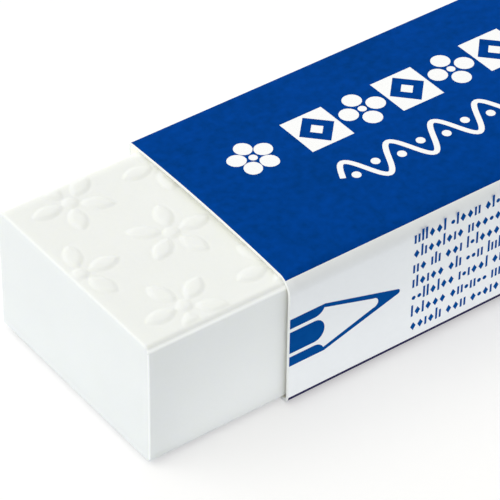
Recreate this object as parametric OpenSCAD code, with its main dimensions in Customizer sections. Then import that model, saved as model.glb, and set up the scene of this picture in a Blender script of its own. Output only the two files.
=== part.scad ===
// A white block eraser in a folded card sleeve.
// Lengths are in millimetres. X runs along the block, from its bare end to its covered end, and Z is up.
// The origin is at the middle of the footprint, on the surface that the sleeve lies on.

/* [Block] */
// Length of the block
block_l = 65; // [45:0.5:90]
// Width of the block
block_w = 23; // [16:0.5:32]
// Height of the block
block_h = 13; // [9:0.5:20]
// Rounding of the block's long edges
long_edge_r = 0.7; // [0.5:0.05:0.9]
// Rounding of the edges round the block's cut ends
end_edge_r = 0.3; // [0.15:0.05:0.4]

/* [Relief] */
// Height of the raised rosettes
relief_h = 0.12; // [0.08:0.01:0.2]
// Radius of a rosette
rosette_r = 3.9; // [3:0.1:4.4]
// Petals of a rosette
petals = 5; // [4:1:6]
// Width of a petal
petal_w = 1.5; // [1:0.05:1.6]
// Distance from the middle of a rosette to the root of its petals
petal_root = 1; // [0.9:0.05:1.4]
// Radius of the boss in the middle of a rosette
boss_r = 0.7; // [0.4:0.05:0.85]
// Distance from the near end of the block to the first rosette of the middle row
first_rosette = 1; // [0:0.2:9]
// Distance between the rosettes of a row
rosette_pitch = 9.6; // [9:0.1:14]
// Distance between rows of rosettes
row_pitch = 8.6; // [8:0.1:12]
// Plain margin between the relief and the rounded edges
relief_margin = 0.1; // [0.05:0.05:0.5]

/* [Sleeve] */
// Length of block left bare at the near end
bare_near = 14.4; // [5:0.2:25]
// Length of block left bare at the other end
bare_far = 0.6; // [0.2:0.1:6]
// Thickness of the card
card_t = 0.35; // [0.2:0.05:0.5]
// Rise of the bowed top panel over its edges
crown = 0.4; // [0.1:0.05:1]
// Inside radius of the soft fold at the near top edge
soft_fold = 1.4; // [0.8:0.05:1.8]
// Inside radius of the crisp fold at the far top edge
crisp_fold = 0.25; // [0.1:0.05:0.6]
// Inside radius of the two bottom folds
bottom_fold = 0.5; // [0.3:0.05:0.8]

/* [Glued seam] */
// Height of the glue flap inside the far side
flap_h = 10.5; // [6:0.25:12]
// Slant of the flap's ends
flap_mitre = 2.5; // [1:0.25:5]
// Width of flap that shows under the edge of the far side
seam_show = 0.3; // [0.1:0.05:0.8]

/* [Fit] */
// Clearance that the sleeve slides with
slip = 0.05; // [0.03:0.01:0.1]
// Least gap between the block and the near side of the sleeve
near_room = 0.35; // [0.1:0.05:0.5]
// Least gap between the block and the glue flap
far_room = 0.15; // [0.1:0.05:0.4]
// Room between the rosettes and the top panel, at the panel's edges
top_room = 0.03; // [0.03:0.01:0.4]

/* [Hidden] */

// Segments of a small arc and of the bowed top panel
arc_fn = 64;
crown_fn = 1440;
// Depth that the relief is rooted in the block
relief_root = 0.2;
// Length by which a cutting shape runs past what it cuts
over = 1;

// Gap that a fold needs beside the block, so that the block's rounded edge clears the inside of the fold,
// where gap is the clearance on the face that the fold leads to
function fold_need(fold, gap) =
    let (reach = fold - long_edge_r - slip, rise = fold - long_edge_r - gap)
    reach <= 0 || rise <= 0 ? 0 : fold - long_edge_r - sqrt(max(0, reach * reach - rise * rise));

top_gap = relief_h + top_room;
near_gap = max(near_room, fold_need(soft_fold, top_gap), fold_need(bottom_fold, slip));
far_gap = max(far_room, fold_need(bottom_fold, slip));

// Width of the sleeve: one layer of card on the near side and two on the far side
sleeve_w = card_t + near_gap + block_w + far_gap + 2 * card_t;
sleeve_l = block_l - bare_near - bare_far;
sleeve_x = bare_near - block_l / 2;
near_y = -sleeve_w / 2;
far_y = sleeve_w / 2;
flap_y = far_y - card_t;

block_y = near_y + card_t + near_gap + block_w / 2;
block_z = card_t + slip;

// Height at which the bowed top would meet the sides, and the circle that it is bowed to
shoulder_z = block_z + block_h + top_gap + card_t;
crown_r = (sleeve_w * sleeve_w / 4 + crown * crown) / (2 * crown);
crown_z = shoulder_z + crown - crown_r;

// Outside radii of the folds
soft_r = soft_fold + card_t;
crisp_r = crisp_fold + card_t;
bottom_r = bottom_fold + card_t;

// Height of a fold's centre where the fold runs on smoothly into the bowed top
function fold_z(y, r) = crown_z + sqrt(pow(crown_r - r, 2) - y * y);
soft_c = [near_y + soft_r, fold_z(near_y + soft_r, soft_r)];
crisp_c = [far_y - crisp_r, fold_z(far_y - crisp_r, crisp_r)];
near_bottom_c = [near_y + bottom_r, bottom_r];
far_bottom_c = [far_y - bottom_r, bottom_r];
flap_c = [flap_y - bottom_r, bottom_r];

seam_z = bottom_r + seam_show;

// Point where the bowed top, set in by inset, takes over from the fold around c
function crown_point(c, inset) =
    let (away = c - [0, crown_z])
    [0, crown_z] + away / norm(away) * (crown_r - inset);

// Lengthwise extrusion of a cross-section that is drawn looking along X
module along_x(start, length) {
    translate([start, 0, 0])
        rotate([90, 0, 90])
            linear_extrude(length) children();
}

module disc(centre, r) {
    translate(centre) circle(r, $fn = arc_fn);
}

module rounded_rect(length, width, r) {
    square([length - 2 * r, width], center = true);
    square([length, width - 2 * r], center = true);
    for (x = [-1, 1], y = [-1, 1])
        disc([x * (length / 2 - r), y * (width / 2 - r)], r);
}

// Block with all its edges rounded, from its three rounded outlines
module block_body() {
    intersection() {
        translate([0, 0, -block_h / 2]) linear_extrude(block_h) rounded_rect(block_l, block_w, end_edge_r);
        along_x(-block_l / 2, block_l) rounded_rect(block_w, block_h, long_edge_r);
        rotate([90, 0, 0])
            translate([0, 0, -block_w / 2])
                linear_extrude(block_w) rounded_rect(block_l, block_h, end_edge_r);
    }
}

// Pointed petal along X, where two arcs meet
module petal() {
    length = rosette_r - petal_root;
    r = (length * length + petal_w * petal_w) / (4 * petal_w);
    intersection() {
        disc([petal_root + length / 2, r - petal_w / 2], r);
        disc([petal_root + length / 2, petal_w / 2 - r], r);
    }
}

module rosette() {
    circle(boss_r, $fn = petals);
    for (i = [0 : petals - 1])
        rotate(i * 360 / petals) petal();
}

// Staggered rows of rosettes, cut off by the edges of the block
module relief() {
    rows = ceil(block_w / 2 / row_pitch);
    columns = ceil(block_l / rosette_pitch);
    end_margin = end_edge_r + relief_margin;
    long_margin = long_edge_r + relief_margin;
    intersection() {
        square([block_l - 2 * end_margin, block_w - 2 * long_margin], center = true);
        for (row = [-rows : rows], column = [-1 : columns]) {
            x = first_rosette - block_l / 2 + (column + (row % 2 == 0 ? 0 : 0.5)) * rosette_pitch;
            translate([x, row * row_pitch]) rotate(row * 180 / petals) rosette();
        }
    }
}

module eraser_block() {
    color("#f0f2ed")
        translate([0, block_y, block_z + block_h / 2]) {
            block_body();
            translate([0, 0, block_h / 2 - relief_root]) linear_extrude(relief_root + relief_h) relief();
        }
}

// Area inside the sleeve's outline, set in by inset
module outline(inset) {
    near = crown_point(soft_c, inset);
    far = crown_point(crisp_c, inset);
    polygon([
        [near_y + inset, near_bottom_c.y], [near_bottom_c.x, inset],
        [far_bottom_c.x, inset], [far_y - inset, far_bottom_c.y],
        [far_y - inset, crisp_c.y], far, near, [near_y + inset, soft_c.y]
    ]);
    disc(near_bottom_c, bottom_r - inset);
    disc(far_bottom_c, bottom_r - inset);
    disc(crisp_c, crisp_r - inset);
    disc(soft_c, soft_r - inset);
    intersection() {
        translate([0, crown_z]) circle(crown_r - inset, $fn = crown_fn);
        translate([near.x, soft_c.y]) square([far.x - near.x, 2 * soft_r]);
    }
}

// Near side, top and far side, with the near half of the bottom panel
module wrap_section() {
    difference() {
        outline(0);
        outline(card_t);
        translate([over, -over]) square([far_y, over + seam_z]);
    }
}

// Area left of the flap and above the bottom panel, set in by inset
module flap_area(inset) {
    translate([-over, inset]) square([flap_c.x + over, flap_h]);
    translate([-over, bottom_r]) square([flap_y - inset + over, flap_h]);
    disc(flap_c, bottom_r - inset);
}

// Far half of the bottom panel, folded up into the glue flap
module flap_section() {
    intersection() {
        difference() {
            flap_area(0);
            flap_area(card_t);
        }
        square([flap_y, flap_h]);
    }
}

// Wedge that slants one end of the flap, to be set at that end
module mitre() {
    translate([0, flap_y + over, 0])
        rotate([90, 0, 0])
            linear_extrude(card_t + 2 * over)
                polygon([[-over, seam_z], [0, seam_z], [flap_mitre, flap_h + over], [-over, flap_h + over]]);
}

module sleeve() {
    color("#013f8a") {
        along_x(sleeve_x, sleeve_l) wrap_section();
        difference() {
            along_x(sleeve_x, sleeve_l) flap_section();
            translate([sleeve_x, 0, 0]) mitre();
            translate([sleeve_x + sleeve_l, 0, 0]) mirror([1, 0, 0]) mitre();
        }
    }
}

eraser_block();
sleeve();
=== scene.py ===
import math
import random

import bmesh
import bpy
import numpy as np
from mathutils import Matrix, Vector, noise
from mathutils.geometry import tessellate_polygon


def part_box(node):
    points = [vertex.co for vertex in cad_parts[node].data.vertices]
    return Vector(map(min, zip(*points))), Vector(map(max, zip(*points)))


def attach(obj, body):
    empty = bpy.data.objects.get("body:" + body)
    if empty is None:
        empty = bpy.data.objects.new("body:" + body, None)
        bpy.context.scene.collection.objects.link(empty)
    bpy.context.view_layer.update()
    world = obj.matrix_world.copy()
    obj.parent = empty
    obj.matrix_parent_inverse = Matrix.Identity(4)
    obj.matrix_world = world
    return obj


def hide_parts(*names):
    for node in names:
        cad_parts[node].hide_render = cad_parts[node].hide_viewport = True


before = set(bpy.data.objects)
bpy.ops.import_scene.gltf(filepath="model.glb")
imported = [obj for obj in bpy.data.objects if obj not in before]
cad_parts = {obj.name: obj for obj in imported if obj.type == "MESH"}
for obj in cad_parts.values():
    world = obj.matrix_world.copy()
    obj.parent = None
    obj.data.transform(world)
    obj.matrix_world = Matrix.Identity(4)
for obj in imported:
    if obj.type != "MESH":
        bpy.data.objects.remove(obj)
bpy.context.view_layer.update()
mm = 0.001  # lengths below are in millimetres, Blender's are in metres
hair = 1e-6  # a length that counts as nothing

# The view of the photograph: a long lens from the near left, above
viewpoint = {
    "place": (-150.624, -182.530, 195.938),
    "azimuth": -36.963,
    "tilt": 39.570,
    "roll": 0.709,
    "lens": 238.3,
}


def placeCamera():
    azimuth, tilt, roll = (math.radians(viewpoint[key]) for key in ("azimuth", "tilt", "roll"))
    back = Vector((math.sin(azimuth) * math.cos(tilt), -math.cos(azimuth) * math.cos(tilt), math.sin(tilt)))
    level = Vector((math.cos(azimuth), math.sin(azimuth), 0))
    rise = back.cross(level)
    right = level * math.cos(roll) + rise * math.sin(roll)
    up = rise * math.cos(roll) - level * math.sin(roll)
    lens = bpy.data.cameras.new("camera")
    lens.lens = viewpoint["lens"]
    lens.clip_start = 0.01
    camera = bpy.data.objects.new("camera", lens)
    turn = Matrix((right, up, back)).transposed().to_4x4()
    camera.matrix_world = Matrix.Translation(Vector(viewpoint["place"]) * mm) @ turn
    bpy.context.scene.collection.objects.link(camera)
    bpy.context.scene.camera = camera


placeCamera()
print("camera placed")


# Nodes and node groups that the finishes share

colourA, colourB, colourOut = 6, 7, 2  # the colour sockets of a Mix node


def addNode(tree, kind, values=None, **settings):
    # A node with its settings, whose inputs take plain values or links from other sockets
    node = tree.nodes.new(kind)
    for name, value in settings.items():
        setattr(node, name, value)
    for label, value in (values or {}).items():
        if isinstance(value, bpy.types.NodeSocket):
            tree.links.new(value, node.inputs[label])
        else:
            node.inputs[label].default_value = value
    return node


def addNoise(tree, vector, scale, detail):
    values = {"Vector": vector, "Scale": scale, "Detail": detail}
    return addNode(tree, "ShaderNodeTexNoise", values).outputs["Fac"]


def addMath(tree, operation, first, second):
    return addNode(tree, "ShaderNodeMath", {0: first, 1: second}, operation=operation).outputs[0]


def newMaterial(name):
    material = bpy.data.materials.new(name)
    material.use_nodes = True
    tree = material.node_tree
    return material, tree, tree.nodes["Principled BSDF"].inputs


def newGroup(name, inputs, outputs):
    group = bpy.data.node_groups.new(name, "ShaderNodeTree")
    for label, kind, value in inputs:
        socket = group.interface.new_socket(label, in_out="INPUT", socket_type=kind)
        socket.default_value = value
    for label, kind in outputs:
        group.interface.new_socket(label, in_out="OUTPUT", socket_type=kind)
    entry = group.nodes.new("NodeGroupInput")
    leaving = group.nodes.new("NodeGroupOutput")
    return group, entry.outputs, leaving.inputs


def buildMottle():
    # Two close colours in soft patches, with a fine speckle over them
    group, entry, leaving = newGroup(
        "softMottle",
        [
            ("First Colour", "NodeSocketColor", (0.9, 0.9, 0.9, 1)),
            ("Second Colour", "NodeSocketColor", (0.8, 0.8, 0.8, 1)),
            ("Patch Scale", "NodeSocketFloat", 200),
            ("Speckle Scale", "NodeSocketFloat", 4000),
            ("Speckle Share", "NodeSocketFloat", 0.3),
        ],
        [("Colour", "NodeSocketColor"), ("Mask", "NodeSocketFloat")],
    )
    place = addNode(group, "ShaderNodeTexCoord").outputs["Object"]
    share = addNode(group, "ShaderNodeMix", {
        "Factor": entry["Speckle Share"],
        "A": addNoise(group, place, entry["Patch Scale"], 3),
        "B": addNoise(group, place, entry["Speckle Scale"], 2),
    })
    spread = addNode(group, "ShaderNodeMapRange", {
        "From Min": 0.35,
        "From Max": 0.65,
        "Value": share.outputs["Result"],
    })
    colour = addNode(group, "ShaderNodeMix", {
        "Factor": spread.outputs["Result"],
        colourA: entry["First Colour"],
        colourB: entry["Second Colour"],
    }, data_type="RGBA")
    group.links.new(colour.outputs[colourOut], leaving["Colour"])
    group.links.new(spread.outputs["Result"], leaving["Mask"])
    return group


def buildGrain():
    # Heights of a fine grain, drawn out along one axis where it is fibrous
    group, entry, leaving = newGroup(
        "surfaceGrain",
        [
            ("Grain Scale", "NodeSocketFloat", 5000),
            ("Fibre Stretch", "NodeSocketVector", (1, 1, 1)),
            ("Swell Scale", "NodeSocketFloat", 300),
            ("Swell Share", "NodeSocketFloat", 0.5),
        ],
        [("Height", "NodeSocketFloat")],
    )
    place = addNode(group, "ShaderNodeTexCoord").outputs["Object"]
    fibre = addNode(group, "ShaderNodeVectorMath", {
        0: place,
        1: entry["Fibre Stretch"],
    }, operation="MULTIPLY")
    height = addNode(group, "ShaderNodeMix", {
        "Factor": entry["Swell Share"],
        "A": addNoise(group, fibre.outputs["Vector"], entry["Grain Scale"], 4),
        "B": addNoise(group, place, entry["Swell Scale"], 1),
    })
    group.links.new(height.outputs["Result"], leaving["Height"])
    return group


mottleGroup = buildMottle()
grainGroup = buildGrain()
glossSpread = 0.06  # how far a finish's roughness varies either way


def newFinish(name, look):
    # A Principled finish with mottled colour and a grain that is felt in the highlights
    material, tree, shader = newMaterial(name)
    mottle = addNode(tree, "ShaderNodeGroup", {
        "First Colour": (*look["first"], 1),
        "Second Colour": (*look["second"], 1),
        "Patch Scale": 1 / (look["patch"] * mm),
        "Speckle Scale": 1 / (look["speckle"] * mm),
        "Speckle Share": look["speckleShare"],
    }, node_tree=mottleGroup)
    grain = addNode(tree, "ShaderNodeGroup", {
        "Grain Scale": 1 / (look["grain"] * mm),
        "Fibre Stretch": look.get("stretch", (1, 1, 1)),
        "Swell Scale": 1 / (look["swell"] * mm),
        "Swell Share": look["swellShare"],
    }, node_tree=grainGroup)
    bump = addNode(tree, "ShaderNodeBump", {
        "Strength": 1,
        "Distance": look["relief"] * mm,
        "Height": grain.outputs["Height"],
    })
    gloss = addNode(tree, "ShaderNodeMapRange", {
        "To Min": look["roughness"] - glossSpread,
        "To Max": look["roughness"] + glossSpread,
        "Value": mottle.outputs["Mask"],
    })
    tree.links.new(mottle.outputs["Colour"], shader["Base Color"])
    tree.links.new(bump.outputs["Normal"], shader["Normal"])
    tree.links.new(gloss.outputs["Result"], shader["Roughness"])
    shader["Specular IOR Level"].default_value = look["specular"]
    return material


# Linear colours, and lengths of the patches, speckle and grain in millimetres
vinylLook = {
    "first": (0.905, 0.920, 0.890),
    "second": (0.885, 0.900, 0.872),
    "patch": 7,
    "speckle": 0.25,
    "speckleShare": 0.35,
    "grain": 0.12,
    "swell": 2.5,
    "swellShare": 0.6,
    "relief": 0.012,
    "roughness": 0.5,
    "specular": 0.35,
    "glow": 0.35,
    "glowDepth": 0.7,
    "glowShares": (1, 1, 0.85),  # how far red, green and blue light goes, against glowDepth
    # Painted highlight: emission strength and colour along the rounded edges
    "edgePaintedLight": 0.25,
    "edgePaintedLightColour": (1, 1, 0.97, 1),
}


def makeVinyl():
    # Slightly translucent, with painted highlights: emission along the rounded edges and towards the top's
    # far edge
    material = newFinish("whiteVinyl", vinylLook)
    tree = material.node_tree
    shader = tree.nodes["Principled BSDF"].inputs
    shader["Subsurface Weight"].default_value = vinylLook["glow"]
    shader["Subsurface Radius"].default_value = vinylLook["glowShares"]
    shader["Subsurface Scale"].default_value = vinylLook["glowDepth"] * mm
    shader["Emission Color"].default_value = vinylLook["edgePaintedLightColour"]
    # Painted highlight: emission where the block's attribute marks the edges and the top's far edge
    edge = addNode(tree, "ShaderNodeAttribute", attribute_name="paintedEdgeLight")
    level = addMath(tree, "MULTIPLY", edge.outputs["Fac"], vinylLook["edgePaintedLight"])
    tree.links.new(level, shader["Emission Strength"])
    return material


# Finishes of the card: printed blue, printed white, unprinted inside and cut edge
cardLooks = {
    "blueInk": {
        "first": (0.0003, 0.056, 0.325),
        "second": (0.0002, 0.044, 0.232),
        "patch": 9,
        "speckle": 0.8,
        "speckleShare": 0.6,
        "grain": 0.2,
        "swell": 3,
        "swellShare": 0.4,
        "relief": 0.006,
        "roughness": 0.55,
        "specular": 0.004,
    },
    "whiteInk": {
        "first": (0.925, 0.94, 0.935),
        "second": (0.905, 0.92, 0.915),
        "patch": 6,
        "speckle": 0.4,
        "speckleShare": 0.4,
        "grain": 0.2,
        "swell": 3,
        "swellShare": 0.4,
        "relief": 0.006,
        "roughness": 0.5,
        "specular": 0.25,
    },
    "insideBoard": {
        "first": (0.82, 0.80, 0.70),
        "second": (0.74, 0.72, 0.61),
        "patch": 1.2,
        "speckle": 0.2,
        "speckleShare": 0.5,
        "grain": 0.15,
        "stretch": (0.25, 1, 1),
        "swell": 1.2,
        "swellShare": 0.3,
        "relief": 0.02,
        "roughness": 0.85,
        "specular": 0.15,
    },
    "cutEdge": {
        "first": (0.97, 0.975, 0.95),
        "second": (0.91, 0.915, 0.88),
        "patch": 0.9,
        "speckle": 0.12,
        "speckleShare": 0.5,
        "grain": 0.08,
        "swell": 0.5,
        "swellShare": 0.4,
        "relief": 0.02,
        "roughness": 0.8,
        "specular": 0.2,
    },
}
# The blue ink darkened with painted shade round the near bottom fold, lighter boards that glow with painted
# light inside the far wall and the top, and the print's inks
cardLooks["foldInk"] = dict(cardLooks["blueInk"], first=(0.030, 0.026, 0.085), second=(0.026, 0.022, 0.072))
cardLooks["farBoardPaintedLight"] = dict(cardLooks["insideBoard"], first=(0.86, 0.85, 0.76), second=(0.80, 0.79, 0.69))
cardLooks["topBoardPaintedLight"] = cardLooks["farBoardPaintedLight"]
cardLooks["whitePrint"] = dict(cardLooks["whiteInk"], first=(1.0, 1.0, 1.0), second=(0.98, 0.98, 0.985))
cardLooks["bluePrint"] = dict(cardLooks["blueInk"], first=(0.0012, 0.075, 0.31), second=(0.0008, 0.065, 0.28))
boardPaintedLight = {"farBoardPaintedLight": 0.4, "topBoardPaintedLight": 0.11}  # painted light, as emission inside the far wall and inside the top
boardPaintedLightColour = (1, 0.98, 0.88, 1)


def makeCard(name):
    finish = newFinish(name, cardLooks[name])
    # Painted light: the boards inside the far wall and the top glow
    if name in boardPaintedLight:
        shader = finish.node_tree.nodes["Principled BSDF"].inputs
        shader["Emission Color"].default_value = boardPaintedLightColour
        shader["Emission Strength"].default_value = boardPaintedLight[name]
    return finish


vinyl = makeVinyl()
cardInks = ["blueInk", "whiteInk", "insideBoard", "cutEdge", "foldInk", "farBoardPaintedLight", "topBoardPaintedLight"]
cardFinishes = [makeCard(name) for name in cardInks]
whitePrint = makeCard("whitePrint")
bluePrint = makeCard("bluePrint")
print("finishes made")


def addPiece(name, points, faces, finishes, slots=None):
    mesh = bpy.data.meshes.new(name)
    mesh.from_pydata([Vector(p) * mm for p in points], [], faces)
    for finish in finishes:
        mesh.materials.append(finish)
    if slots is not None:
        mesh.polygons.foreach_set("material_index", slots)
    mesh.polygons.foreach_set("use_smooth", [True] * len(faces))
    mesh.validate()
    mesh.update()
    piece = bpy.data.objects.new(name, mesh)
    bpy.context.scene.collection.objects.link(piece)
    return piece


def smoothStep(value):
    t = np.clip(value, 0, 1)
    return t * t * (3 - 2 * t)


def softNoise(spot):
    return 0.5 + 0.5 * noise.noise(spot)


# The vinyl block, with long edges rolled by its mould and crisp edges round its cut ends
blockLook = {
    "longRadius": 0.7,
    "bottomRadius": 0.4,
    "endRadius": 0.22,
    "longSteps": 9,
    "endSteps": 4,
    "cell": 0.18,  # spacing of the top's points
    "wallCell": 0.9,
    "reliefHeight": 0.12,
    "reliefShoulder": 0.55,  # width over which a petal swells to its full height
    "reliefFoot": 0.12,  # how far outside its outline a petal starts to swell
    "grooveDepth": 0.03,
    "groovePlace": 0.2,
    "grooveWidth": 0.14,
    "rosetteRoom": 1,  # width round a rosette that its groove may take
    "reliefFade": 0.25,  # width over which the relief ends beside the rounded edges
    "rosetteRadius": 3.9,
    "petals": 5,
    "petalWidth": 1.5,
    "petalRoot": 1.0,
    "bossRadius": 0.65,
    "firstRosette": 1.0,
    "rosettePitch": 9.6,
    "rowPitch": 8.6,
    "sag": 0.05,  # how far the soft faces fall back from the cut block's box
    "sagPeriod": 9,
    "sagReach": 2,  # distance from an edge over which the sag sets in
    "glowAngle": 63,  # where the painted highlight on a rolled edge is brightest, degrees from the top
    "highlightSpread": 14,
    # Painted highlight on the upright edges
    "uprightHighlight": 1.2,
    "farPaintedLight": 0.42,  # painted light that brightens the top towards the far edge, where the light comes from
    "farPaintedLightReach": 1.5,
}
blockLow, blockHigh = (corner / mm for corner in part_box("eraser_block"))
blockHigh.z -= blockLook["reliefHeight"]
blockMiddle = (blockLow + blockHigh) / 2
blockHalf = (blockHigh - blockLow) / 2


def gridLines(half, radius, steps, cell):
    # Evenly spaced lines between the rounded edges, and lines at equal turns round each edge
    flat = half - radius
    count = max(2, round(2 * flat / cell))
    turns = [radius * math.tan(math.radians(45 * i / steps)) for i in range(1, steps + 1)]
    middle = [-flat + 2 * flat * i / count for i in range(count + 1)]
    return np.array([-flat - turn for turn in reversed(turns)] + middle + [flat + turn for turn in turns])


def roundPoint(x, y, z):
    # Draws a place on the plain box in on to the rounded block, and tells how much painted light it gets on
    # its edges and near the top's far edge
    half, endRadius = blockHalf, blockLook["endRadius"]
    longRadius = blockLook["longRadius"] if z > 0 else blockLook["bottomRadius"]
    along, across, rise = abs(x), abs(y), abs(z)
    depth = min(half.y - across, half.z - rise)
    onLongFace = depth < hair
    glow = 0
    out, edge = max(0, along - half.x + endRadius), max(0, endRadius - depth)
    if out > 0 and edge > 0:
        share = max(out, edge) / math.hypot(out, edge)
        # Painted highlight on the upright edges
        if half.z - rise > longRadius:
            glow = blockLook["uprightHighlight"] * (min(out, edge) / max(out, edge)) ** 2
        along = half.x - endRadius + out * share
        depth = endRadius - edge * share
        across, rise = min(across, half.y - depth), min(rise, half.z - depth)
    # Painted light: the top brightens towards its far edge
    if y > 0 and z > 0 and half.z - rise < hair:
        glow = blockLook["farPaintedLight"] * (1 - smoothStep((half.y - across) / blockLook["farPaintedLightReach"]))
    side, top = across - half.y + longRadius, rise - half.z + longRadius
    if side > 0 and top > 0:
        share = max(side, top) / math.hypot(side, top)
        # Painted highlight on the lower part of a rolled long edge
        if onLongFace and z > 0:
            turn = math.degrees(math.atan2(side, top))
            glow = max(glow, math.exp(-(((turn - blockLook["glowAngle"]) / blockLook["highlightSpread"]) ** 2)))
        across, rise = half.y - longRadius + side * share, half.z - longRadius + top * share
    return Vector((math.copysign(along, x), math.copysign(across, y), math.copysign(rise, z))), glow


def petalDepth(x, y, turn):
    # Distance inside one petal's outline, below zero outside it
    length = blockLook["rosetteRadius"] - blockLook["petalRoot"]
    width = blockLook["petalWidth"]
    radius = (length * length + width * width) / (4 * width)
    along = x * math.cos(turn) + y * math.sin(turn) - blockLook["petalRoot"] - length / 2
    across = np.abs(y * math.cos(turn) - x * math.sin(turn))
    return radius - np.hypot(along, across + radius - width / 2)


def reliefDepth(x, y):
    # Distance inside the nearest rosette's outline, for points measured from the block's middle
    depth = np.full(x.shape, -np.inf)
    rows = math.ceil(blockHalf.y / blockLook["rowPitch"])
    columns = math.ceil(2 * blockHalf.x / blockLook["rosettePitch"])
    for row in range(-rows, rows + 1):
        stagger = 0 if row % 2 == 0 else 0.5
        for column in range(-1, columns + 1):
            centreX = blockLook["firstRosette"] - blockHalf.x + (column + stagger) * blockLook["rosettePitch"]
            u, v = x - centreX, y - row * blockLook["rowPitch"]
            near = np.hypot(u, v) < blockLook["rosetteRadius"] + blockLook["rosetteRoom"]
            if not near.any():
                continue
            best = blockLook["bossRadius"] - np.hypot(u[near], v[near])
            for petal in range(blockLook["petals"]):
                turn = math.radians(row * 180 / blockLook["petals"] + petal * 360 / blockLook["petals"])
                best = np.maximum(best, petalDepth(u[near], v[near], turn))
            depth[near] = np.maximum(depth[near], best)
    return depth


def topHeight(x, y):
    # Soft swollen petals with a shallow groove round them, on a top that sags a little
    depth = reliefDepth(x, y)
    rise = np.clip((depth + blockLook["reliefFoot"]) / blockLook["reliefShoulder"], 0, 1)
    swell = 1 - (1 - rise) ** 2
    groove = np.exp(-(((depth + blockLook["groovePlace"]) / blockLook["grooveWidth"]) ** 2))
    endRoom = blockHalf.x - np.abs(x) - blockLook["endRadius"]
    sideRoom = blockHalf.y - np.abs(y) - blockLook["longRadius"]
    inside = smoothStep(np.minimum(endRoom, sideRoom) / blockLook["reliefFade"])
    return inside * (blockLook["reliefHeight"] * swell - blockLook["grooveDepth"] * groove)


def makeBlock():
    endSteps, longSteps = blockLook["endSteps"], blockLook["longSteps"]
    lines = [
        gridLines(blockHalf.x, blockLook["endRadius"], endSteps, blockLook["cell"]),
        gridLines(blockHalf.y, blockLook["longRadius"], longSteps, blockLook["cell"]),
        gridLines(blockHalf.z, blockLook["longRadius"], longSteps, blockLook["wallCell"]),
    ]
    last = [len(line) - 1 for line in lines]
    heights = topHeight(*np.meshgrid(lines[0], lines[1], indexing="ij"))
    places, points, paintedLightShares = {}, [], []

    def corner(i, j, k):
        key = (i, j, k)
        if key not in places:
            spot, glow = roundPoint(lines[0][i], lines[1][j], lines[2][k])
            room = sorted(half - abs(value) for half, value in zip(blockHalf, spot))[1]
            sag = blockLook["sag"] * softNoise(spot / blockLook["sagPeriod"])
            sag *= smoothStep(room / blockLook["sagReach"])
            for axis in range(3):
                if key[axis] in (0, last[axis]):
                    spot[axis] -= math.copysign(sag, spot[axis])
            if k == last[2]:
                spot.z += heights[i, j]
            places[key] = len(points)
            points.append(spot + blockMiddle)
            paintedLightShares.append(glow)
        return places[key]

    faces = []
    for axis in (2, 1, 0):
        u, v = (other for other in range(3) if other != axis)
        for end in (0, last[axis]):
            underside = axis == 2 and end == 0
            inward = (end == 0) != (axis == 1)  # the quads below then face into the block
            for a in range(last[u]):
                for b in range(last[v]):
                    rim = a < endSteps or a >= last[0] - endSteps or b < longSteps or b >= last[1] - longSteps
                    if underside and not rim:
                        continue
                    quad = []
                    for stepA, stepB in ((0, 0), (1, 0), (1, 1), (0, 1)):
                        key = {axis: end, u: a + stepA, v: b + stepB}
                        quad.append(corner(key[0], key[1], key[2]))
                    faces.append(quad[::-1] if inward else quad)
    # The flat underside is one face inside the rounded rim
    start, stop, near, far = endSteps, last[0] - endSteps, longSteps, last[1] - longSteps
    loop = [corner(i, near, 0) for i in range(start, stop)]
    loop += [corner(stop, j, 0) for j in range(near, far)]
    loop += [corner(i, far, 0) for i in range(stop, start, -1)]
    loop += [corner(start, j, 0) for j in range(far, near, -1)]
    faces.append(loop[::-1])
    piece = addPiece("vinyl_block", points, faces, [vinyl])
    # Each point's share of the painted highlight
    edgeLightLayer = piece.data.attributes.new("paintedEdgeLight", "FLOAT", "POINT")
    edgeLightLayer.data.foreach_set("value", paintedLightShares)
    return piece


block = makeBlock()
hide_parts("eraser_block")
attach(block, "block")
print("block made,", len(block.data.polygons), "faces")


# The card sleeve, one folded sheet
sleeveLook = {
    "thickness": 0.35,
    "inkDepth": 0.012,  # the card's skin lies this far inside, so that print ends flush
    "crown": 0.4,
    "softFold": 1.75,  # outside radii of the folds
    "crispFold": 0.6,
    "bottomFold": 0.85,
    "blueOverSoftFold": 57,  # degrees round the soft fold, from the near side, at which the blue starts
    "blueUnderSide": 2,  # degrees below the near side at which the bottom's blue starts
    "blueOverCrispFold": 30,
    "flapHeight": 10.5,
    "flapBlueTop": 2,
    "flapMitre": 2.26,
    "seamHeight": 1.15,
    "pathStep": 1.2,
    "stations": 56,
    "cutBevel": 0.04,
    "cutCore": 0.05,  # half of the rough band along the middle of a cut
    "cutRoughness": 0.012,
    "frayRates": (3, 4, 9),  # how fast the roughness changes along, round and through the card
    "waveDepth": 0.03,
    "wavePeriod": 14,
    "mouthSkew": 0.25,  # how far the mouth is cut out of square
    "farFacing": 0.7,  # the card counts as the far wall, or as the top, where it faces that way this much, and its inside there gets a board with painted light
    "topFacing": 0.9,
    "printLayers": 3,  # thickness of a print shape, in depths of the skin
}
sleeveLow, sleeveHigh = (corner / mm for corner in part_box("sleeve"))
nearY, farY = sleeveLow.y, sleeveHigh.y
mouthX, tailX = sleeveLow.x, sleeveHigh.x
crownRadius = ((farY - nearY) ** 2 / 4 + sleeveLook["crown"] ** 2) / (2 * sleeveLook["crown"])
crownZ = sleeveHigh.z - crownRadius


def foldCentre(y, radius):
    # Centre of a top fold that runs on smoothly into the bowed top
    return y, crownZ + math.sqrt((crownRadius - radius) ** 2 - y * y)


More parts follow.
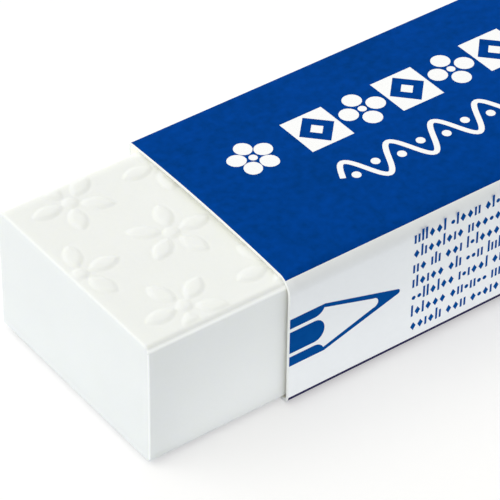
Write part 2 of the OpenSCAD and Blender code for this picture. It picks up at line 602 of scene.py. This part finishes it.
def sheetPath():
    # The printed skin from the flap's top edge to the free edge: y, z, outward y and z, ink, end inset
    path = []
    thickness, bottom = sleeveLook["thickness"], sleeveLook["bottomFold"]
    soft, crisp = sleeveLook["softFold"], sleeveLook["crispFold"]
    softCentre = foldCentre(nearY + soft, soft)
    crispCentre = foldCentre(farY - crisp, crisp)
    softEnd = math.degrees(math.atan2(softCentre[1] - crownZ, softCentre[0])) - 360
    crispStart = math.degrees(math.atan2(crispCentre[1] - crownZ, crispCentre[0])) - 360
    flapY = farY - thickness
    seam, blueTop = sleeveLook["seamHeight"], sleeveLook["flapBlueTop"]
    taper = sleeveLook["flapMitre"] / (sleeveLook["flapHeight"] - seam)

    def straight(start, end, side, ink, onFlap=False):
        steps = max(1, math.ceil(math.dist(start, end) / sleeveLook["pathStep"]))
        for i in range(steps):
            y, z = (a + (b - a) * i / steps for a, b in zip(start, end))
            inset = max(0, z - seam) * taper if onFlap else 0
            path.append((y, z, *side, ink, inset))

    def turn(centre, radius, start, end, steps, ink):
        for i in range(steps):
            angle = math.radians(start + (end - start) * i / steps)
            side = (math.cos(angle), math.sin(angle))
            path.append((centre[0] + radius * side[0], centre[1] + radius * side[1], *side, ink, 0))

    blueStart = -180 + sleeveLook["blueUnderSide"]
    blueAgain = -180 - sleeveLook["blueOverSoftFold"]
    blueEnd = -360 + sleeveLook["blueOverCrispFold"]
    straight((flapY, sleeveLook["flapHeight"]), (flapY, blueTop), (1, 0), "whiteInk", True)
    straight((flapY, blueTop), (flapY, seam), (1, 0), "blueInk", True)
    straight((flapY, seam), (flapY, bottom), (1, 0), "blueInk")
    turn((flapY - bottom, bottom), bottom, 0, -90, 10, "blueInk")
    straight((flapY - bottom, 0), (nearY + bottom, 0), (0, -1), "blueInk")
    # Blue ink darkened with painted shade round the near bottom fold
    turn((nearY + bottom, bottom), bottom, -90, blueStart, 12, "foldInk")
    turn((nearY + bottom, bottom), bottom, blueStart, -180, 2, "whiteInk")
    straight((nearY, bottom), (nearY, softCentre[1]), (-1, 0), "whiteInk")
    turn(softCentre, soft, -180, blueAgain, 14, "whiteInk")
    turn(softCentre, soft, blueAgain, softEnd, 12, "blueInk")
    turn((0, crownZ), crownRadius, softEnd, crispStart, 40, "blueInk")
    turn(crispCentre, crisp, crispStart, blueEnd, 8, "blueInk")
    turn(crispCentre, crisp, blueEnd, -360, 4, "whiteInk")
    straight((farY, crispCentre[1]), (farY, seam), (1, 0), "whiteInk")
    path.append((farY, seam, 1, 0, "whiteInk", 0))
    return path


def cardPoint(x, y, z, side, depth):
    # A place in the card, depth below the skin, where the whole sheet waves very slightly
    wave = sleeveLook["waveDepth"] * softNoise(Vector((x, y, z)) / sleeveLook["wavePeriod"])
    return x, y - side[0] * (depth + wave), z - side[1] * (depth + wave)


def makeSleeve():
    path = sheetPath()
    skin, inner, bevel = sleeveLook["inkDepth"], sleeveLook["thickness"], sleeveLook["cutBevel"]
    stations = sleeveLook["stations"]
    middle, core = (skin + inner) / 2, sleeveLook["cutCore"]
    cutRows = [(skin + bevel, 0), (middle - core, 1), (middle + core, 1), (inner - bevel, 0)]
    back = stations + len(cutRows) + 1  # a ring's first point on the inside of the card
    points, rings = [], []
    for y, z, sideY, sideZ, ink, inset in path:
        skew = sleeveLook["mouthSkew"] * (y - nearY) / (farY - nearY)
        start, end = mouthX + skew + inset, tailX - inset
        ring = []

        def add(x, depth):
            ring.append(len(points))
            points.append(cardPoint(x, y, z, (sideY, sideZ), depth))

        def addCut(x, inward, rows):
            alongRate, acrossRate, depthRate = sleeveLook["frayRates"]
            for depth, rough in rows:
                spot = Vector((x * alongRate, y * acrossRate, z * acrossRate + depth * depthRate))
                add(x + inward * rough * sleeveLook["cutRoughness"] * (1 + noise.noise(spot)), depth)

        along = [start + bevel + (end - start - 2 * bevel) * i / stations for i in range(stations + 1)]
        for x in along:
            add(x, skin)
        addCut(end, -1, cutRows)
        for x in reversed(along):
            add(x, inner)
        addCut(start, 1, reversed(cutRows))
        rings.append(ring)

    cutEdge = cardInks.index("cutEdge")
    size = len(rings[0])
    faces, slots = [], []
    for (_, _, sideY, sideZ, inkName, _), ring, following in zip(path, rings, rings[1:]):
        ink = cardInks.index(inkName)
        isFar, isTop = sideY > sleeveLook["farFacing"], sideZ > sleeveLook["topFacing"]
        # The inside of the far wall and of the top takes a board with painted light
        board = cardInks.index("farBoardPaintedLight" if isFar else "topBoardPaintedLight" if isTop else "insideBoard")
        for k in range(size):
            m = (k + 1) % size
            faces.append([ring[k], ring[m], following[m], following[k]])
            slots.append(ink if k < stations else board if back <= k < back + stations else cutEdge)
    # Cut edges of the sheet along the flap's top and along the free edge
    for ring, flip in ((rings[0], True), (rings[-1], False)):
        caps = [ring[stations:back + 1], ring[back + stations:] + [ring[0]]]
        for k in range(stations):
            opposite = back + stations - k
            caps.append([ring[k], ring[k + 1], ring[opposite - 1], ring[opposite]])
        for cap in caps:
            faces.append(cap[::-1] if flip else cap)
            slots.append(cutEdge)
    return addPiece("card_sleeve", points, faces, cardFinishes, slots)


sleeve = makeSleeve()
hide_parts("sleeve")
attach(sleeve, "sleeve")
print("sleeve made,", len(sleeve.data.polygons), "faces")


# Print: thin closed shapes that lie in the card's skin and follow it

def onTop(along, across, depth):
    # along runs from the mouth, across from the block's near side
    y = across + blockLow.y
    z = crownZ + math.sqrt(crownRadius * crownRadius - y * y)
    return cardPoint(mouthX + along, y, z, (y / crownRadius, (z - crownZ) / crownRadius), depth)


def onNearSide(along, height, depth):
    return cardPoint(mouthX + along, nearY, height, (-1, 0), depth)


def makePrint(name, shapes, place, finish, cut=1.0):
    # Each shape is an outline with its holes, filled, cut into short strips, bent on and closed
    flat = bmesh.new()
    for outlines in shapes:
        loops = [[Vector((a, b, 0)) for a, b in outline] for outline in outlines]
        corners = [flat.verts.new(point) for loop in loops for point in loop]
        for triangle in tessellate_polygon(loops):
            flat.faces.new([corners[i] for i in triangle])
    for axis, direction in enumerate((Vector((1, 0, 0)), Vector((0, 1, 0)))):
        values = [vert.co[axis] for vert in flat.verts]
        for step in range(math.ceil(min(values) / cut), math.ceil(max(values) / cut)):
            bmesh.ops.bisect_plane(
                flat,
                geom=flat.verts[:] + flat.edges[:] + flat.faces[:],
                dist=hair,
                plane_co=direction * step * cut,
                plane_no=direction,
            )
    bmesh.ops.recalc_face_normals(flat, faces=flat.faces)
    flat.verts.index_update()
    count = len(flat.verts)
    points = [place(vert.co.x, vert.co.y, 0) for vert in flat.verts]
    thickness = sleeveLook["printLayers"] * sleeveLook["inkDepth"]
    points += [place(vert.co.x, vert.co.y, thickness) for vert in flat.verts]
    upper = [[vert.index for vert in face.verts] for face in flat.faces]
    faces = upper + [[i + count for i in reversed(face)] for face in upper]
    for face in flat.faces:
        for loop in face.loops:
            if loop.edge.is_boundary:
                a, b = loop.vert.index, loop.link_loop_next.vert.index
                faces.append([b, a, a + count, b + count])
    flat.free()
    piece = addPiece(name, points, faces, [finish])
    piece.data.polygons.foreach_set("use_smooth", [False] * len(faces))
    checked = bmesh.new()
    checked.from_mesh(piece.data)
    bmesh.ops.recalc_face_normals(checked, faces=checked.faces)
    checked.to_mesh(piece.data)
    checked.free()
    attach(piece, "sleeve")


def arc(centre, radius, start, end, steps):
    # Points round part of a circle, ends included, angles in degrees
    spots = []
    for i in range(steps + 1):
        angle = math.radians(start + (end - start) * i / steps)
        spots.append((centre[0] + radius * math.cos(angle), centre[1] + radius * math.sin(angle)))
    return spots


def disc(centre, radius, steps=32):
    return arc(centre, radius, 0, 360 * (steps - 1) / steps, steps - 1)


def lozenge(centre, halfLength, halfWidth):
    x, y = centre
    return [(x + halfLength, y), (x, y + halfWidth), (x - halfLength, y), (x, y - halfWidth)]


# A round mark and a frieze of tiles in the bold white row, and a fine wave with dots under it
topPrint = {
    "row": 14.95,
    "markPlace": 7.6,
    "markRadius": 2.5,
    "markPetals": 5,
    "petalWidth": 1.75,
    "petalRoot": 0.62,
    "bossRadius": 0.42,
    "tileStart": 12.4,
    "tilePitch": 5.2,
    "tiles": 6,
    "tileLength": 4.7,
    "tileWidth": 5.0,
    "lozengeLength": 4.0,
    "lozengeWidth": 4.3,
    "seedLength": 1.5,
    "seedWidth": 1.6,
    "crossPetals": 4,
    "crossPetalWidth": 1.9,
    "petalSteps": 9,
    "waveRow": 7.9,
    "waveStart": 12.3,
    "waves": 6,
    "waveHeight": 1.83,
    "waveLength": 5.15,
    "waveStroke": 0.55,
    "waveSteps": 24,
    "dotPlace": 0.15,  # share of the wave's height at which its dots lie
    "dotRadius": 0.45,
}


def petalOutline(centre, turn, root, tip, width):
    # A pointed petal between two arcs
    length = tip - root
    radius = (length * length + width * width) / (4 * width)
    half = math.asin(length / 2 / radius)
    steps, spots = topPrint["petalSteps"], []
    for side in (1, -1):
        for i in range(steps):
            angle = half * (1 - 2 * i / steps) * side
            along = root + length / 2 + radius * math.sin(angle)
            across = side * (radius * math.cos(angle) - radius + width / 2)
            spots.append((
                centre[0] + along * math.cos(turn) - across * math.sin(turn),
                centre[1] + along * math.sin(turn) + across * math.cos(turn),
            ))
    return spots


def petalShapes(centre, count, radius, width, first):
    shapes = [[disc(centre, topPrint["bossRadius"])]]
    for petal in range(count):
        turn = math.radians(first + petal * 360 / count)
        shapes.append([petalOutline(centre, turn, topPrint["petalRoot"], radius, width)])
    return shapes


def friezeShapes():
    markCentre = (topPrint["markPlace"], topPrint["row"])
    count, radius = topPrint["markPetals"], topPrint["markRadius"]
    shapes = petalShapes(markCentre, count, radius, topPrint["petalWidth"], 90)
    for i in range(topPrint["tiles"]):
        middle = topPrint["tileStart"] + topPrint["tileLength"] / 2 + i * topPrint["tilePitch"]
        centre = (middle, topPrint["row"])
        if i % 2:
            shapes += petalShapes(centre, topPrint["crossPetals"], radius, topPrint["crossPetalWidth"], 0)
            continue
        x, y = topPrint["tileLength"] / 2, topPrint["tileWidth"] / 2
        square = [(middle + a * x, topPrint["row"] + b * y) for a, b in ((1, -1), (1, 1), (-1, 1), (-1, -1))]
        shapes.append([square, lozenge(centre, topPrint["lozengeLength"] / 2, topPrint["lozengeWidth"] / 2)])
        shapes.append([lozenge(centre, topPrint["seedLength"] / 2, topPrint["seedWidth"] / 2)])
    return shapes


def waveShapes():
    start, turns, length = topPrint["waveStart"], topPrint["waves"], topPrint["waveLength"]
    steps, upper, lower = topPrint["waveSteps"], [], []
    for i in range(turns * steps + 1):
        phase = 2 * math.pi * i / steps
        slope = topPrint["waveHeight"] * math.cos(phase) * 2 * math.pi / length
        x = start + length * i / steps
        y = topPrint["waveRow"] + topPrint["waveHeight"] * math.sin(phase)
        offset = topPrint["waveStroke"] / 2 / math.hypot(1, slope)
        upper.append((x - slope * offset, y + offset))
        lower.append((x + slope * offset, y - offset))
    shapes = [[upper + lower[::-1]]]
    for i in range(2 * turns):
        side = -1 if i % 2 == 0 else 1
        dotY = topPrint["waveRow"] + side * topPrint["waveHeight"] * topPrint["dotPlace"]
        shapes.append([disc((start + length * (0.25 + 0.5 * i), dotY), topPrint["dotRadius"], 20)])
    return shapes


makePrint("printed_frieze", friezeShapes(), onTop, whitePrint)
makePrint("printed_wave", waveShapes(), onTop, whitePrint)
print("top print made")


# A plain pencil, drawn from the mouth, and rows of small marks on the near side
sidePrint = {
    "pencilLow": 4.47,
    "pencilHigh": 9.83,
    "stripeGap": 0.41,
    "stripeShares": (0.235, 0.53, 0.235),
    "stripeEnd": 2.75,
    "coneStart": 3.85,
    "coneStroke": 0.4,
    "coneLap": 0.06,  # how far the cone's open middle reaches back over the stripes' side
    "leadStart": 9.25,
    "tip": 12.22,
    "tipRadius": 0.28,
    "tipTurn": 70,  # degrees round the tip to each side
    "rows": 7,
    "firstRow": 12.22,  # height of the first row's middle
    "rowPitch": 1.685,
    "rowStart": 13.65,
    "rowEnd": 45,
    "rowRagged": 5,  # how much shorter a row may end
    "wordMarks": (3, 9),
    "markHeight": 0.92,
    "markWidth": 0.62,
    "tallMark": 1.3,
    "markStroke": 0.22,
    "markGap": 0.2,
    "wordGap": 0.38,
    "seed": 11,
}


def pencilShapes():
    low, high, gap = sidePrint["pencilLow"], sidePrint["pencilHigh"], sidePrint["stripeGap"]
    edge, middle = sleeveLook["cutBevel"], (low + high) / 2
    stripeX, coneX = sidePrint["stripeEnd"], sidePrint["coneStart"]
    reach = coneX - stripeX
    outer, inner, _ = (share * (high - low - 2 * gap) for share in sidePrint["stripeShares"])
    # The middle stripe ends in a half round, the outer two in quarter rounds that meet the cone
    half = [(stripeX + reach * x, middle + inner / 2 * y) for x, y in arc((0, 0), 1, -90, 90, 16)]
    shapes = [[[(edge, middle - inner / 2)] + half + [(edge, middle + inner / 2)]]]
    quarter = arc((0, 0), 1, 0, 90, 9)
    lower = [(stripeX + reach * x, low + outer * y) for x, y in quarter]
    upper = [(stripeX + reach * x, high - outer * y) for x, y in quarter]
    shapes.append([[(edge, low)] + lower + [(edge, low + outer)]])
    shapes.append([[(edge, high - outer)] + upper[::-1] + [(edge, high)]])
    # The two sides of the cone and the lead are one outline round an open middle
    tipX, leadX, stroke = sidePrint["tip"], sidePrint["leadStart"], sidePrint["coneStroke"]
    slope = (high - middle) / (tipX - coneX)
    leadHalf = (tipX - leadX) * slope - stroke
    tipRadius, turn, openX = sidePrint["tipRadius"], sidePrint["tipTurn"], coneX - sidePrint["coneLap"]
    outside = [(coneX, low)] + arc((tipX - tipRadius, middle), tipRadius, -turn, turn, 8) + [(coneX, high)]
    inside = [(openX, high - stroke), (leadX, middle + leadHalf)]
    inside += arc((leadX, middle), leadHalf, 90, -90, 12)[1:-1]
    inside += [(leadX, middle - leadHalf), (openX, low + stroke)]
    shapes.append([outside + inside])
    return shapes


def smallMark(kind, x, z):
    # One mark that starts at x, as its outline and its width
    half, stroke, width = sidePrint["markHeight"] / 2, sidePrint["markStroke"], sidePrint["markWidth"]
    if kind == "lozenge":
        return lozenge((x + width / 2, z), width / 2, half), width
    if kind == "dot":
        return disc((x + stroke, z), stroke, 12), 2 * stroke
    reach = sidePrint["tallMark"] - half if kind == "tall" else half
    return [(x, z - half), (x + stroke, z - half), (x + stroke, z + reach), (x, z + reach)], stroke


def markShapes():
    marks = random.Random(sidePrint["seed"])
    shapes = []
    for row in range(sidePrint["rows"]):
        z = sidePrint["firstRow"] - row * sidePrint["rowPitch"]
        x, stop = sidePrint["rowStart"], sidePrint["rowEnd"] - marks.uniform(0, sidePrint["rowRagged"])
        while x < stop:
            for _ in range(marks.randint(*sidePrint["wordMarks"])):
                kind = marks.choice(("lozenge", "lozenge", "bar", "bar", "tall", "dot"))
                outline, width = smallMark(kind, x, z)
                shapes.append([outline])
                x += width + sidePrint["markGap"]
            x += sidePrint["wordGap"]
    return shapes


makePrint("printed_pencil", pencilShapes(), onNearSide, bluePrint, 2.0)
makePrint("printed_marks", markShapes(), onNearSide, bluePrint, 2.0)
print("side print made")


# Floor, sky and lamp
lighting = {
    "sky": 0.79,
    "skySide": (-0.5, 0.85, 0.1),  # where the sky is brightest
    "skyLean": 0.55,
    "horizon": (0.972, 1.0, 1.04),
    "zenith": (1.035, 1.03, 0.985),
    "lamp": 0.6,
    "lampColour": (1, 0.99, 0.97),
    "lampFrom": (-0.5, 0.42, 0.76),
    "lampSpread": 38,
    "floor": (0.60, 0.60, 0.588),  # as the picture shows it
    "floorLift": 0.44,
    "bounce": (0.79, 0.825, 0.89),  # as it lights the eraser
    "pool": 0.69,  # glow of the floor in front of the near side
    "poolFades": [("X", -2, 4), ("Y", -22.5, -7.5), ("Y", 0.4, -0.8)],  # dark to bright, from the near corner
    "poolColour": (1, 0.99, 1.005),
    "floorHalf": 1500,
}


def pictureRay(tree):
    # One where the camera, a reflection or a clear material looks at the surface
    rays = addNode(tree, "ShaderNodeLightPath").outputs
    seen = addMath(tree, "MAXIMUM", rays["Is Camera Ray"], rays["Is Glossy Ray"])
    return addMath(tree, "MAXIMUM", seen, rays["Is Transmission Ray"])


def makeFloor():
    # A pale floor whose shadow is light in the picture, with a pool of light before the near side
    material, tree, shader = newMaterial("paleFloor")
    shader["Roughness"].default_value = 0.9
    shader["Specular IOR Level"].default_value = 0
    shader["Emission Color"].default_value = (*lighting["poolColour"], 1)
    seen = pictureRay(tree)
    base = addNode(tree, "ShaderNodeMix", {
        "Factor": seen,
        colourA: (*lighting["bounce"], 1),
        colourB: (*lighting["floor"], 1),
    }, data_type="RGBA")
    tree.links.new(base.outputs[colourOut], shader["Base Color"])
    place = addNode(tree, "ShaderNodeTexCoord").outputs["Object"]
    split = addNode(tree, "ShaderNodeSeparateXYZ", {0: place})
    nearCorner = {"X": blockLow.x, "Y": nearY}
    level = lighting["pool"]
    for axis, dark, bright in lighting["poolFades"]:
        ramp = addNode(tree, "ShaderNodeMapRange", {
            "From Min": (nearCorner[axis] + dark) * mm,
            "From Max": (nearCorner[axis] + bright) * mm,
            "Value": split.outputs[axis],
        }, interpolation_type="SMOOTHSTEP")
        level = addMath(tree, "MULTIPLY", level, ramp.outputs["Result"])
    glow = addNode(tree, "ShaderNodeMix", {"Factor": seen, "A": level, "B": lighting["floorLift"]})
    tree.links.new(glow.outputs["Result"], shader["Emission Strength"])
    mesh = bpy.data.meshes.new("floor")
    half = lighting["floorHalf"] * mm
    corners = [(-half, -half, 0), (half, -half, 0), (half, half, 0), (-half, half, 0)]
    mesh.from_pydata(corners, [], [(0, 1, 2, 3)])
    mesh.materials.append(material)
    floor = bpy.data.objects.new("floor", mesh)
    bpy.context.scene.collection.objects.link(floor)


def makeLight():
    # A sky that is brighter on one side, cooler low down and plain white in the picture
    world = bpy.data.worlds.new("studio")
    world.use_nodes = True
    bpy.context.scene.world = world
    tree = world.node_tree
    place = addNode(tree, "ShaderNodeTexCoord").outputs["Generated"]
    side = Vector(lighting["skySide"]).normalized()
    facing = addNode(tree, "ShaderNodeVectorMath", {0: place, 1: side}, operation="DOT_PRODUCT")
    level = addNode(tree, "ShaderNodeMapRange", {
        "From Min": -1,
        "To Min": lighting["sky"] * (1 - lighting["skyLean"]),
        "To Max": lighting["sky"] * (1 + lighting["skyLean"]),
        "Value": facing.outputs["Value"],
    })
    height = addNode(tree, "ShaderNodeSeparateXYZ", {0: place})
    tint = addNode(tree, "ShaderNodeMix", {
        "Factor": height.outputs["Z"],
        colourA: (*lighting["horizon"], 1),
        colourB: (*lighting["zenith"], 1),
    }, data_type="RGBA")
    lit = addNode(tree, "ShaderNodeVectorMath", {
        0: tint.outputs[colourOut],
        "Scale": level.outputs["Result"],
    }, operation="SCALE")
    seen = addNode(tree, "ShaderNodeMix", {
        "Factor": pictureRay(tree),
        colourA: lit.outputs["Vector"],
        colourB: (1, 1, 1, 1),
    }, data_type="RGBA")
    tree.links.new(seen.outputs[colourOut], tree.nodes["Background"].inputs["Color"])
    lamp = bpy.data.lights.new("softLamp", "SUN")
    lamp.energy = lighting["lamp"]
    lamp.color = lighting["lampColour"]
    lamp.angle = math.radians(lighting["lampSpread"])
    holder = bpy.data.objects.new("softLamp", lamp)
    holder.rotation_euler = Vector(lighting["lampFrom"]).to_track_quat("Z", "Y").to_euler()
    bpy.context.scene.collection.objects.link(holder)


makeFloor()
makeLight()
bpy.context.scene.view_settings.view_transform = "Standard"
print("floor and light made")

bpy.context.view_layer.update()
